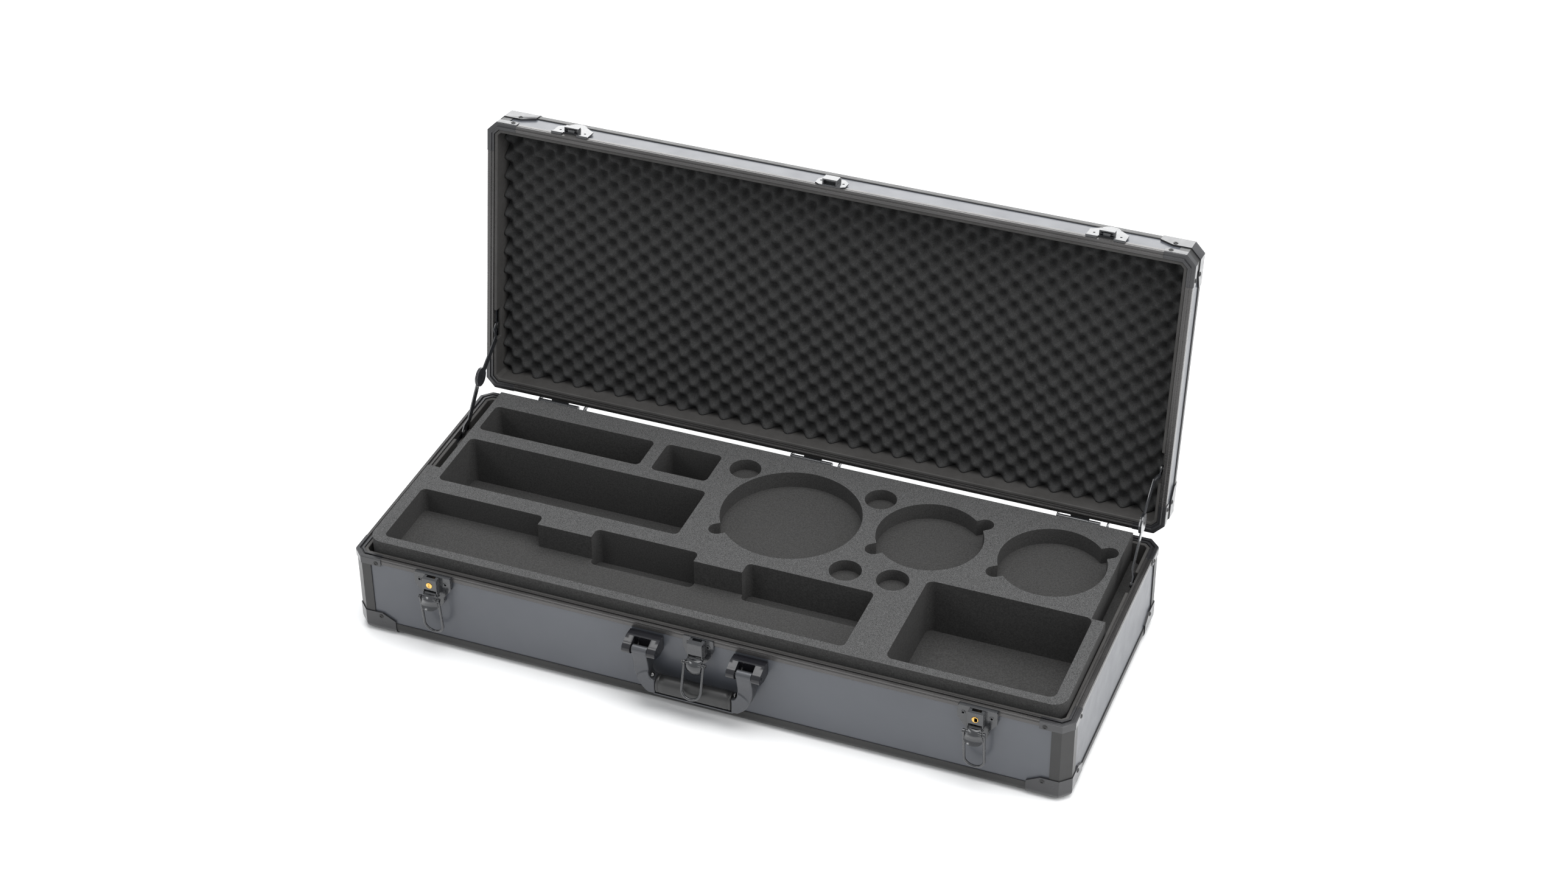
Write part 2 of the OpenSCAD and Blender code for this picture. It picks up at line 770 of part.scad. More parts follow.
// Flat arm along +Y from its pivot: end pad near the wall, a joggle, then the blade and its knee disc
module stay_arm(plane) {
    start = 8;
    run = 7.5;
    tilt = atan2(pad_x - plane, run);
    difference() {
        union() {
            translate([pad_x, 0, 0]) rotate([0, 90, 0]) cylinder(r = stay_w / 2, h = stay_t, center = true);
            translate([pad_x - stay_t / 2, 0, -stay_w / 2]) cube([stay_t, start, stay_w]);
            translate([pad_x, start, 0]) rotate([0, 0, tilt]) translate([-stay_t / 2, -0.3, -stay_w / 2])
                cube([stay_t, norm([run, pad_x - plane]) + 0.6, stay_w]);
            translate([plane - stay_t / 2, start + run, -stay_w / 2])
                cube([stay_t, stay_arm - start - run, stay_w]);
            translate([plane, stay_arm, 0]) rotate([0, 90, 0]) cylinder(r = knee_r, h = stay_t, center = true);
        }
        translate([pad_x - 5, 0, 0]) rotate([0, 90, 0]) cylinder(r = stud_r + play, h = 10);
        translate([plane - 5, stay_arm, 0]) rotate([0, 90, 0]) cylinder(r = stud_r, h = 10);
    }
}

module lower_stay(side) {
    color(black_steel) mirror([side < 0 ? 1 : 0, 0, 0]) translate([0, stay_y, base_h - stay_rise])
        rotate([lower_angle, 0, 0]) stay_arm(lower_x);
}

module upper_stay(side) {
    turn = upper_angle + open_angle;
    color(black_steel) open_lid() mirror([side < 0 ? 1 : 0, 0, 0]) translate([0, stay_y, base_h + stay_rise])
        rotate([turn, 0, 0]) stay_arm(upper_x);
}

module base_rivets() {
    color(steel) in_base() shell_rivets(base_h);
    color(steel) both_ends() translate([0, stay_y, base_h - stay_rise]) stay_stud();
}

module lid_rivets() {
    color(steel) in_lid() shell_rivets(lid_h);
    color(steel) open_lid() both_ends() translate([0, stay_y, base_h + stay_rise]) stay_stud();
}

// ---- Nodes -----------------------------------------------------------------------------------

module base_bottom_panel() { color(laminate) in_base() end_panel(base_h); }
module base_front_panel() { color(laminate) in_base() front_rear_panel(base_h, -1); }
module base_rear_panel() { color(laminate) in_base() front_rear_panel(base_h, 1); }
module base_left_panel() { color(laminate) in_base() side_panel(base_h, -1); }
module base_right_panel() { color(laminate) in_base() side_panel(base_h, 1); }
module base_long_rim_rails() { color(anodised) in_base() long_rim_rails(false); }
module base_short_rim_rails() { color(anodised) in_base() short_rim_rails(false); }
module base_long_edge_rails() { color(anodised) in_base() long_edge_rails(base_h); }
module base_short_edge_rails() { color(anodised) in_base() short_edge_rails(base_h); }
module base_corner_posts() { color(anodised) in_base() corner_posts(base_h); }
module base_rim_corners() { color(black_steel) in_base() rim_corners(false); }
module base_ball_corners() { color(black_steel) in_base() ball_corners(base_h); }
module base_liner() { color(soft_liner) in_base() liner_band(base_h); }
module left_latch_plate() { latch_plate(-latch_x, 42, 12, 42, 15, 4.6); }
module centre_latch_plate() { latch_plate(0, 34, 12, 33, 14, 1.8); }
module right_latch_plate() { latch_plate(latch_x, 42, 12, 42, 15, 4.6); }
module left_latch_housing() { latch_housing(-latch_x, 4.9, true); }
module centre_latch_housing() { latch_housing(0, 2.1, false); }
module right_latch_housing() { latch_housing(latch_x, 4.9, true); }
module lid_top_panel() { color(laminate) in_lid() end_panel(lid_h); }
module lid_front_panel() { color(laminate) in_lid() front_rear_panel(lid_h, -1); }
module lid_rear_panel() { color(laminate) in_lid() front_rear_panel(lid_h, 1); }
module lid_left_panel() { color(laminate) in_lid() side_panel(lid_h, -1); }
module lid_right_panel() { color(laminate) in_lid() side_panel(lid_h, 1); }
module lid_long_rim_rails() { color(anodised) in_lid() long_rim_rails(true); }
module lid_short_rim_rails() { color(anodised) in_lid() short_rim_rails(true); }
module lid_long_edge_rails() { color(anodised) in_lid() long_edge_rails(lid_h); }
module lid_short_edge_rails() { color(anodised) in_lid() short_edge_rails(lid_h); }
module lid_corner_posts() { color(anodised) in_lid() corner_posts(lid_h); }
module lid_rim_corners() { color(black_steel) in_lid() rim_corners(true); }
module lid_ball_corners() { color(black_steel) in_lid() ball_corners(lid_h); }
module lid_liner() { color(soft_liner) in_lid() liner_band(lid_h); }
module left_lever() { lever(-latch_x, true); }
module centre_lever() { lever(0, false); }
module right_lever() { lever(latch_x, true); }
module left_bail() { bail(-latch_x, side_bail_len, side_lean); }
module centre_bail() { bail(0, centre_bail_len, centre_lean); }
module right_bail() { bail(latch_x, side_bail_len, side_lean); }
module centre_bail_axle() { bail_axle(0); }
module left_lock_cylinder() { lock_cylinder(-latch_x); }
module right_lock_cylinder() { lock_cylinder(latch_x); }
module left_stay_lower_arm() { lower_stay(-1); }
module left_stay_upper_arm() { upper_stay(-1); }
module right_stay_lower_arm() { lower_stay(1); }
module right_stay_upper_arm() { upper_stay(1); }

base_bottom_panel();
base_front_panel();
base_rear_panel();
base_left_panel();
base_right_panel();
base_long_rim_rails();
base_short_rim_rails();
base_long_edge_rails();
base_short_edge_rails();
base_corner_posts();
base_rim_corners();
base_ball_corners();
base_rivets();
base_liner();
foam_tray();
foam_floor_pad();
hinge_base_leaves();
pivot_pins();
left_latch_plate();
centre_latch_plate();
right_latch_plate();
left_latch_housing();
centre_latch_housing();
right_latch_housing();
handle_brackets();
lid_top_panel();
lid_front_panel();
lid_rear_panel();
lid_left_panel();
lid_right_panel();
lid_long_rim_rails();
lid_short_rim_rails();
lid_long_edge_rails();
lid_short_edge_rails();
lid_corner_posts();
lid_rim_corners();
lid_ball_corners();
lid_rivets();
lid_liner();
lid_foam();
hinge_lid_leaves();
side_strikes();
centre_strike();
handle_frame();
handle_grip();
left_lever();
centre_lever();
right_lever();
left_bail();
centre_bail();
right_bail();
centre_bail_axle();
left_lock_cylinder();
right_lock_cylinder();
left_stay_lower_arm();
left_stay_upper_arm();
right_stay_lower_arm();
right_stay_upper_arm();
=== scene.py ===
# Open aluminium-framed hard case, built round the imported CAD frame.
# Metres, +X along the front, +Y back, +Z up.
import json
import math

import bmesh
import bpy
from mathutils import Matrix, Vector, noise


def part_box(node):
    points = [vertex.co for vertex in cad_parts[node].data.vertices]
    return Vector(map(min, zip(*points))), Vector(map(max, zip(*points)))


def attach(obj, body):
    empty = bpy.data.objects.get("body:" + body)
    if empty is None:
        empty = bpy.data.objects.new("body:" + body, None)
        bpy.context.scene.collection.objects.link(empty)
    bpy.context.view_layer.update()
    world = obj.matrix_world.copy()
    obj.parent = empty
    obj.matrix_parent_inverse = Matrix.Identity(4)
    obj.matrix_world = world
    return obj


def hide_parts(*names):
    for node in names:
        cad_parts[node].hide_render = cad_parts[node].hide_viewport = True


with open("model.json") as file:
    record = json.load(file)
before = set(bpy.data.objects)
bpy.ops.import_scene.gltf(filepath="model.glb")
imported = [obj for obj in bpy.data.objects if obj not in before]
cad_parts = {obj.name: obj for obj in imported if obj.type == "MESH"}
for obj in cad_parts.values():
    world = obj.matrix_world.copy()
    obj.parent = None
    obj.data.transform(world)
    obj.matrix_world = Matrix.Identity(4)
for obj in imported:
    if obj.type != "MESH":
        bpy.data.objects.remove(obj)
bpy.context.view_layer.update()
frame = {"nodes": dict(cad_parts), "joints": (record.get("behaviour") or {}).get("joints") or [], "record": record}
nodes = frame["nodes"]
joints = {joint["name"]: joint for joint in frame["joints"]}
scene = bpy.context.scene
MM = 0.001

# ---- Camera ------------------------------------------------------------------------------------
CAMERA_PLACE = Vector((0.9685, -2.3665, 2.0783))
CAMERA_AZIMUTH = 21.584      # degrees to the right of straight ahead
CAMERA_ELEVATION = 35.727    # degrees looking down
CAMERA_ROLL = 0.526
FOCAL_LENGTH = 69.493
SENSOR_WIDTH = 36
SIGHT = 100

camera_data = bpy.data.cameras.new("camera")
camera_data.lens = FOCAL_LENGTH
camera_data.sensor_width = SENSOR_WIDTH
camera_data.clip_end = SIGHT
camera = bpy.data.objects.new("camera", camera_data)
scene.collection.objects.link(camera)
camera.matrix_world = (
    Matrix.Translation(CAMERA_PLACE)
    @ Matrix.Rotation(math.radians(CAMERA_AZIMUTH), 4, "Z")
    @ Matrix.Rotation(math.radians(90 - CAMERA_ELEVATION), 4, "X")
    @ Matrix.Rotation(math.radians(-CAMERA_ROLL), 4, "Z")
)
scene.camera = camera


# ---- Materials ---------------------------------------------------------------------------------
class Shader:
    """A Principled material whose colour, roughness and bump come from procedural textures."""

    def __init__(self, name, roughness=0.5, metallic=0.0, ior=1.5, **sockets):
        self.material = bpy.data.materials.new(name)
        self.material.use_nodes = True
        self.tree = self.material.node_tree
        self.shader = self.tree.nodes["Principled BSDF"]
        self.shader.inputs["Roughness"].default_value = roughness
        self.shader.inputs["Metallic"].default_value = metallic
        self.shader.inputs["IOR"].default_value = ior
        for socket, value in sockets.items():
            self.shader.inputs[socket.replace("_", " ")].default_value = value
        self.place = self.add("ShaderNodeTexCoord").outputs["Object"]
        self.normal = None

    def add(self, kind, **values):
        node = self.tree.nodes.new(kind)
        for key, value in values.items():
            if hasattr(node, key):
                setattr(node, key, value)
            else:
                node.inputs[key.replace("_", " ")].default_value = value
        return node

    def link(self, source, target):
        self.tree.links.new(source, target)

    def stretched(self, scale):
        mapping = self.add("ShaderNodeMapping")
        mapping.inputs["Scale"].default_value = scale
        self.link(self.place, mapping.inputs["Vector"])
        return mapping.outputs["Vector"]

    def noise(self, scale, detail=3.0, stretch=None, rough=0.55):
        node = self.add("ShaderNodeTexNoise", Scale=scale, Detail=detail, Roughness=rough)
        self.link(self.stretched(stretch) if stretch else self.place, node.inputs["Vector"])
        return node.outputs["Fac"]

    def cells(self, scale):
        node = self.add("ShaderNodeTexVoronoi", Scale=scale)
        self.link(self.place, node.inputs["Vector"])
        return node.outputs["Distance"]

    def colour(self, value, low, high, start=0.3, end=0.7):
        """Colours the surface from low to high where the texture's value goes from start to end."""
        ramp = self.add("ShaderNodeValToRGB")
        for element, position, level in zip(ramp.color_ramp.elements, (start, end), (low, high)):
            element.position = position
            element.color = (*level, 1)
        self.link(value, ramp.inputs["Fac"])
        self.link(ramp.outputs["Color"], self.shader.inputs["Base Color"])

    def roughness(self, value, low, high, start=0.3, end=0.7):
        node = self.add("ShaderNodeMapRange")
        node.inputs["From Min"].default_value = start
        node.inputs["From Max"].default_value = end
        node.inputs["To Min"].default_value = low
        node.inputs["To Max"].default_value = high
        self.link(value, node.inputs["Value"])
        self.link(node.outputs["Result"], self.shader.inputs["Roughness"])

    def bump(self, value, distance, strength):
        """Adds a layer of relief, distance metres high, over the layers before it."""
        node = self.add("ShaderNodeBump", Strength=strength, Distance=distance)
        self.link(value, node.inputs["Height"])
        if self.normal:
            self.link(self.normal, node.inputs["Normal"])
        self.normal = node.outputs["Normal"]
        self.link(self.normal, self.shader.inputs["Normal"])


def grey(level, warm=0.0):
    """A neutral colour, or a slightly warm one."""
    return (level * (1 + warm), level, level * (1 - warm))


def make_laminate():
    made = Shader("laminate", roughness=0.34, ior=1.5)
    made.colour(made.noise(scale=9, detail=4), low=(0.058, 0.062, 0.072), high=(0.068, 0.073, 0.084))
    made.roughness(made.noise(scale=40, detail=5), low=0.29, high=0.36)
    made.bump(made.noise(scale=1400, detail=2), distance=0.00004, strength=0.25)
    made.bump(made.noise(scale=14, detail=2), distance=0.0006, strength=0.10)
    return made.material


def make_rail():
    made = Shader("anodised_rail", roughness=0.3, metallic=0.6)
    made.colour(made.noise(scale=12, detail=4), low=(0.062, 0.060, 0.059), high=(0.082, 0.079, 0.078))
    made.roughness(made.noise(scale=900, detail=3, stretch=(0.04, 0.04, 1)), low=0.22, high=0.32)
    made.bump(made.noise(scale=1600, detail=2, stretch=(0.03, 0.03, 1)), distance=0.00001, strength=0.2)
    return made.material


def make_edge_rail():
    made = Shader("edge_rail_satin", roughness=0.38, metallic=0.3)
    made.colour(made.noise(scale=14, detail=4), low=(0.019, 0.0188, 0.0186), high=(0.026, 0.0257, 0.0254))
    made.roughness(made.noise(scale=70, detail=4), low=0.34, high=0.42)
    made.bump(made.noise(scale=1800, detail=2), distance=0.00001, strength=0.2)
    return made.material


def make_fitting():
    made = Shader("fitting_paint", roughness=0.3, metallic=0.3, Coat_Weight=0.35, Coat_Roughness=0.16)
    made.colour(made.noise(scale=20, detail=4), low=(0.022, 0.022, 0.024), high=(0.030, 0.030, 0.032))
    made.roughness(made.noise(scale=120, detail=4), low=0.26, high=0.35)
    made.bump(made.noise(scale=2200, detail=2), distance=0.00001, strength=0.2)
    return made.material


def make_hardware():
    made = Shader("hardware_gloss", roughness=0.26, metallic=0.3, Coat_Weight=0.7, Coat_Roughness=0.1)
    made.colour(made.noise(scale=30, detail=3), low=(0.017, 0.018, 0.020), high=(0.025, 0.026, 0.029))
    made.roughness(made.noise(scale=90, detail=4), low=0.22, high=0.32)
    made.bump(made.noise(scale=900, detail=2), distance=0.000005, strength=0.1)
    return made.material


def make_handle_arm():
    made = Shader("handle_metallic", roughness=0.36, metallic=0.6)
    made.colour(made.noise(scale=900, detail=3), low=(0.058, 0.060, 0.065), high=(0.068, 0.070, 0.076))
    made.roughness(made.noise(scale=60, detail=4), low=0.32, high=0.39)
    made.bump(made.noise(scale=1500, detail=2), distance=0.000008, strength=0.15)
    return made.material


def make_bracket():
    made = Shader("bracket_gloss", roughness=0.14, ior=1.42)
    made.colour(made.noise(scale=30, detail=3), low=(0.008, 0.008, 0.010), high=(0.013, 0.013, 0.015))
    made.roughness(made.noise(scale=90, detail=4), low=0.11, high=0.18)
    made.bump(made.noise(scale=300, detail=2), distance=0.000005, strength=0.1)
    return made.material


def make_pin():
    made = Shader("bright_pin", roughness=0.25, metallic=1.0)
    made.colour(made.noise(scale=60, detail=3), low=grey(0.10), high=grey(0.15))
    made.roughness(made.noise(scale=400, detail=4), low=0.18, high=0.28)
    made.bump(made.noise(scale=900, detail=2), distance=0.00001, strength=0.3)
    return made.material


def make_liner():
    made = Shader("liner_sheet", roughness=0.72, ior=1.45)
    made.colour(made.noise(scale=30, detail=5), low=grey(0.032, 0.05), high=grey(0.046, 0.04))
    made.roughness(made.noise(scale=200, detail=4), low=0.62, high=0.8)
    made.bump(made.noise(scale=1800, detail=3), distance=0.00008, strength=0.5)
    made.bump(made.noise(scale=25, detail=3), distance=0.0005, strength=0.25)
    return made.material


def make_foam():
    made = Shader("open_cell_foam", roughness=0.95, ior=1.4)
    grain = made.noise(scale=2600, detail=1, rough=0.3)
    made.colour(grain, low=grey(0.015), high=grey(0.115), start=0.36, end=0.72)
    made.roughness(made.noise(scale=600, detail=3), low=0.85, high=1.0)
    made.bump(grain, distance=0.0004, strength=0.55)
    made.bump(made.noise(scale=60, detail=4), distance=0.0004, strength=0.2)
    return made.material


def make_lid_foam():
    made = Shader("egg_crate_foam", roughness=0.95, ior=1.4)
    grain = made.noise(scale=2600, detail=1, rough=0.3)
    made.colour(grain, low=grey(0.010), high=grey(0.046), start=0.36, end=0.72)
    made.roughness(made.noise(scale=600, detail=3), low=0.85, high=1.0)
    made.bump(grain, distance=0.0003, strength=0.45)
    return made.material


# Pocket walls, pocket floors and the tray's sides: the cut foam's own smoother grain and warmer tone, coloured
# darker than the top as painted shade in the pockets
def make_cut_foam_painted_shade():
    made = Shader("cut_foam_wall", roughness=0.9, ior=1.4)
    made.colour(made.noise(scale=700, detail=4), low=grey(0.020, 0.02), high=grey(0.042, 0.02))
    made.roughness(made.noise(scale=300, detail=3), low=0.82, high=0.95)
    made.bump(made.noise(scale=1500, detail=3), distance=0.0001, strength=0.5)
    return made.material


def make_grip():
    made = Shader("grip_rubber", roughness=0.5)
    made.colour(made.noise(scale=40, detail=4), low=grey(0.010), high=grey(0.015))
    made.roughness(made.noise(scale=300, detail=4), low=0.40, high=0.50)
    made.bump(made.cells(scale=1500), distance=0.00005, strength=0.5)
    return made.material


def make_brass():
    made = Shader("lock_brass", roughness=0.25, metallic=1.0)
    made.colour(made.noise(scale=200, detail=4), low=(0.62, 0.36, 0.09), high=(0.82, 0.52, 0.16))
    made.roughness(made.noise(scale=300, detail=4), low=0.2, high=0.35)
    made.bump(made.noise(scale=700, detail=2), distance=0.00001, strength=0.3)
    return made.material


MATERIALS = {
    "laminate": make_laminate(),
    "frame_rail": make_rail(),
    "corner_fitting": make_fitting(),
    "hardware": make_hardware(),
    "handle_arm": make_handle_arm(),
    "bracket": make_bracket(),
    "pin": make_pin(),
    "liner": make_liner(),
    "foam": make_foam(),
    "grip": make_grip(),
    "lock": make_brass(),
}
CUT_FOAM_PAINTED_SHADE = make_cut_foam_painted_shade()
LID_FOAM = make_lid_foam()
EDGE_RAIL = make_edge_rail()
SLOT_OF = {part["node"]: part["material_slot"] for part in frame["record"]["subparts"]}
BODY_OF = {node: body for body, members in frame["record"]["behaviour"]["bodies"].items() for node in members}
DULL_PIECES = ("edge_rails", "corner_posts", "rivets")


def paint(piece, slot_name):
    """Gives a piece its slot's material, or the duller one of the edge rails, posts and rivets."""
    dull = any(word in piece.name for word in DULL_PIECES)
    piece.data.materials.clear()
    piece.data.materials.append(EDGE_RAIL if dull else MATERIALS[slot_name])


for node_name, piece in nodes.items():
    paint(piece, SLOT_OF[node_name])


# ---- Mesh helpers ------------------------------------------------------------------------------
SAME_PLACE = 1e-6
FLAT_ANGLE = math.radians(0.8)
SHARP_ANGLE = math.radians(28)
TURN_STEPS = 40


def new_piece(name, mesh_data, slot_name, body, replaced=()):
    """Links a finished piece, paints it and ties it to its CAD body."""
    mesh = bpy.data.meshes.new(name)
    if isinstance(mesh_data, bmesh.types.BMesh):
        mesh_data.to_mesh(mesh)
        mesh_data.free()
    else:
        mesh.from_pydata(*mesh_data)
    piece = bpy.data.objects.new(name, mesh)
    scene.collection.objects.link(piece)
    paint(piece, slot_name)
    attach(piece, body)
    if replaced:
        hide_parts(*replaced)
    return piece


def copied(node_name):
    """A clean copy of a CAD node's mesh, with flat faces joined, except where they would span a groove."""
    made = bmesh.new()
    made.from_mesh(nodes[node_name].data)
    bmesh.ops.remove_doubles(made, verts=made.verts, dist=SAME_PLACE)
    if "rim_corners" not in node_name:
        bmesh.ops.dissolve_limit(made, angle_limit=FLAT_ANGLE, verts=made.verts, edges=made.edges)
    return made


def rounded(piece, width, segments):
    """Rounds a piece's edges."""
    bevel = piece.modifiers.new("bevel", "BEVEL")
    bevel.width = width
    bevel.segments = segments
    return bevel


def even_shading(piece):
    piece.modifiers.new("normals", "WEIGHTED_NORMAL").keep_sharp = True


def smooth_quads(piece):
    """Shades the four-sided faces smooth and leaves the end caps flat."""
    for face in piece.data.polygons:
        face.use_smooth = len(face.vertices) == 4


def softened(node_name, width, segments, name):
    """The CAD node with its sharp edges rounded, standing for it."""
    piece = new_piece(name, copied(node_name), SLOT_OF[node_name], BODY_OF[node_name], [node_name])
    bevel = rounded(piece, width, segments)
    bevel.limit_method = "ANGLE"
    bevel.angle_limit = SHARP_ANGLE
    for face in piece.data.polygons:
        face.use_smooth = True
    even_shading(piece)
    return piece


# ---- Foam --------------------------------------------------------------------------------------
lid_joint = joints["lid_hinge"]
HINGE = Vector(lid_joint["pos_m"])
OPEN_ANGLE = math.radians(lid_joint["range_deg"][1])
TO_OPEN = Matrix.Translation(HINGE) @ Matrix.Rotation(-OPEN_ANGLE, 4, "X") @ Matrix.Translation(-HINGE)
TO_SHUT = TO_OPEN.inverted()


def shut_box(node_name):
    """Lowest and highest corner of one of the lid's nodes with the lid shut."""
    points = [TO_SHUT @ vertex.co for vertex in nodes[node_name].data.vertices]
    return tuple(Vector(pick(point[i] for point in points) for i in range(3)) for pick in (min, max))


TRAY_EDGE = 1.2 * MM
PAD_EDGE = 1.4 * MM
LINER_EDGE = 1.0 * MM
SKIN = 0.5 * MM         # below the tray's top by more than this, a face is a cut one and is coloured darker, as painted shade

tray = softened("foam_tray", TRAY_EDGE, 3, "foam_tray_cut")
tray.data.materials.append(CUT_FOAM_PAINTED_SHADE)
TRAY_TOP = max(vertex.co.z for vertex in tray.data.vertices)
# Faces below the top take the darker cut-foam colour, which is painted shade in the pockets and on the sides
for face in tray.data.polygons:
    if face.center.z < TRAY_TOP - SKIN:
        face.material_index = 1
floor_pad = softened("foam_floor_pad", PAD_EDGE, 3, "foam_pad_soft")
for liner_node in ("base_liner", "lid_liner"):
    softened(liner_node, LINER_EDGE, 3, liner_node + "_sheet")

EGG_COLUMN = 12.9 * MM  # from a crest to the next pit, across and down
EGG_ROW = 11.5 * MM
EGG_DEPTH = 15 * MM
EGG_STEP = 1.7 * MM     # the mesh's spacing
EGG_CROWN = 0.8         # below 1, the crests are broader than the pits
DRIFT = 0.5 * MM        # how far the cutting wanders
DRIFT_SCALE = 9
DRIFT_LAYER = 3


def egg_crate():
    """Convoluted foam sheet: staggered round crests and pits on a flat back."""
    low, high = shut_box("lid_foam")
    across = round((high.x - low.x) / EGG_STEP)
    along = round((high.y - low.y) / EGG_STEP)
    verts, faces = [], []
    for j in range(along + 1):
        y = low.y + (high.y - low.y) * j / along
        for i in range(across + 1):
            x = low.x + (high.x - low.x) * i / across
            drift = noise.noise_vector(Vector((x * DRIFT_SCALE, y * DRIFT_SCALE, DRIFT_LAYER))) * DRIFT
            ripple = math.cos(math.pi * (x + drift.x) / EGG_COLUMN)
            ripple *= math.cos(math.pi * (y + drift.y) / EGG_ROW)
            z = low.z + EGG_DEPTH * (1 - ((ripple + 1) / 2) ** EGG_CROWN)
            verts.append(Vector((x, y, z)))
    front = len(verts)
    for j in range(along):
        for i in range(across):
            a = j * (across + 1) + i
            faces.append((a, a + across + 1, a + across + 2, a + 1))
    # Side walls and back, from the sheet's outline
    ring = list(range(across + 1))
    ring += [j * (across + 1) + across for j in range(1, along + 1)]
    ring += [along * (across + 1) + i for i in range(across - 1, -1, -1)]
    ring += [j * (across + 1) for j in range(along - 1, 0, -1)]
    for index in ring:
        verts.append(Vector((verts[index].x, verts[index].y, high.z)))
    count = len(ring)
    for k in range(count):
        n = (k + 1) % count
        faces.append((ring[k], ring[n], front + n, front + k))
    faces.append(tuple(range(front, front + count)))
    mesh_data = ([TO_OPEN @ v for v in verts], [], faces)
    piece = new_piece("lid_foam_egg_crate", mesh_data, "foam", "lid", ["lid_foam"])
    smooth_quads(piece)
    piece.data.materials[0] = LID_FOAM
    return piece


egg_crate()

# ---- Frame and fittings with rounded edges ------------------------------------------------------
WIDE_EDGE = 0.7         # mm; a wider rounding gets a third segment
EDGE_WIDTHS = {         # mm, by a word in the node's name
    "rim_rails": 0.22, "edge_rails": 0.5, "corner_posts": 0.4, "rim_corners": 0.25, "ball_corners": 0.8,
    "latch_plate": 0.35, "latch_housing": 0.5, "strike": 0.45, "leaves": 0.35, "stay": 0.3, "rivets": 0.12,
    "lock_cylinder": 0.25, "brackets": 0.9, "axle": 0.25, "pins": 0.2, "bail": 0.12,
}
for node_name in list(nodes):
    for ending, width in EDGE_WIDTHS.items():
        if ending in node_name and not node_name.startswith("foam"):
            softened(node_name, width * MM, 3 if width > WIDE_EDGE else 2, node_name + "_finished")
            break

# ---- Handle ------------------------------------------------------------------------------------
SET_BACK = 1.2 * MM     # how far the front panel lies behind the case's front face
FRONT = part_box("base_front_panel")[0][1] - SET_BACK
PIN_Z = joints["handle_swing"]["pos_m"][2]
PIN_OUT = FRONT - joints["handle_swing"]["pos_m"][1]
GRIP_LOW, GRIP_HIGH = (Vector(corner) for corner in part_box("handle_grip"))
GRIP_END = GRIP_HIGH.x + 0.2 * MM
GRIP_Z = (GRIP_LOW.z + GRIP_HIGH.z) / 2 + 1.1 * MM
GRIP_SEAT = 7 * MM      # above the grip, where the arm begins to turn in towards it
GRIP_TURN = 9 * MM      # the height over which it turns
GRIP_OUT = FRONT - (GRIP_LOW.y + GRIP_HIGH.y) / 2
ARM_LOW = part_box("handle_frame")[0][2]
ARM_INNER = 49.4 * MM
ARM_OUTER = 66.6 * MM
ARM_TOP = PIN_Z - 20 * MM
ARM_LEAST = 1.2 * MM    # least width
ARM_BEND = 24 * MM      # the height over which the arm leans out from pin to grip
ARM_HALF = 4.2 * MM     # half its thickness at the pin
ARM_SWELL = 2.4 * MM    # and how much it grows towards the foot
FOOT_ROUND = 3 * MM     # height of the rounding at the foot
FOOT_THIN = 0.55        # thickness at the very foot, as a share
ARM_CORNER = 2.0 * MM
FACE_LIFT = 1.4 * MM    # how far the quarter-oval face stands out
FACE_ACROSS = 21.8 * MM
FACE_UP = 17 * MM
FACE_START = 2 * MM
FACE_RIM = 1.1 * MM
FACE_RIM_FADE = 0.8 * MM
FACE_FADE = 0.05
EDGE_CROWDING = 0.75    # packs the mesh's columns towards the arm's edges
EYE_RADIUS = 4.6 * MM
EYE_SOFT = 0.7 * MM
GRIP_SCREW = [(0, 2.9), (0.9, 2.9), (1.1, 2.4), (2.0, 2.2), (2.6, 1.2)]     # along, radius, mm
SCREW_OUT = 4.2 * MM
SCREW_FORWARD = 3 * MM
SCREW_UP = 2.4 * MM
STRIP_INTO_ARM = 2 * MM
STRIP_DEEP = 13.4 * MM
STRIP_THICK = 1.5 * MM
STRIP_UP = 0.85 * MM
STRIP_EDGE = 0.5 * MM


def smooth(value):
    """An eased step, from 0 at 0 to 1 at 1."""
    value = min(max(value, 0.0), 1.0)
    return value * value * (3 - 2 * value)


def arm_span(z):
    """Inner and outer side of the arm at height z."""
    if z >= ARM_TOP:
        outer = ARM_OUTER
    else:
        drop = (ARM_TOP - z) / (ARM_TOP - ARM_LOW)
        outer = GRIP_END + (ARM_OUTER - GRIP_END) * math.sqrt(max(0.0, 1 - drop * drop))
    turn = (GRIP_HIGH.z + GRIP_SEAT - z) / GRIP_TURN
    inner = ARM_INNER if turn <= 0 else GRIP_END
    if 0 < turn < 1:
        inner = GRIP_END + (ARM_INNER - GRIP_END) * math.sqrt(1 - turn * turn)
    return min(inner, outer - ARM_LEAST), outer


def arm_depth(z):
    """Middle and half thickness of the arm at height z, as distances out from the front."""
    down = smooth((PIN_Z - z) / ARM_BEND)
    return PIN_OUT + (GRIP_OUT - PIN_OUT) * down, ARM_HALF + ARM_SWELL * down


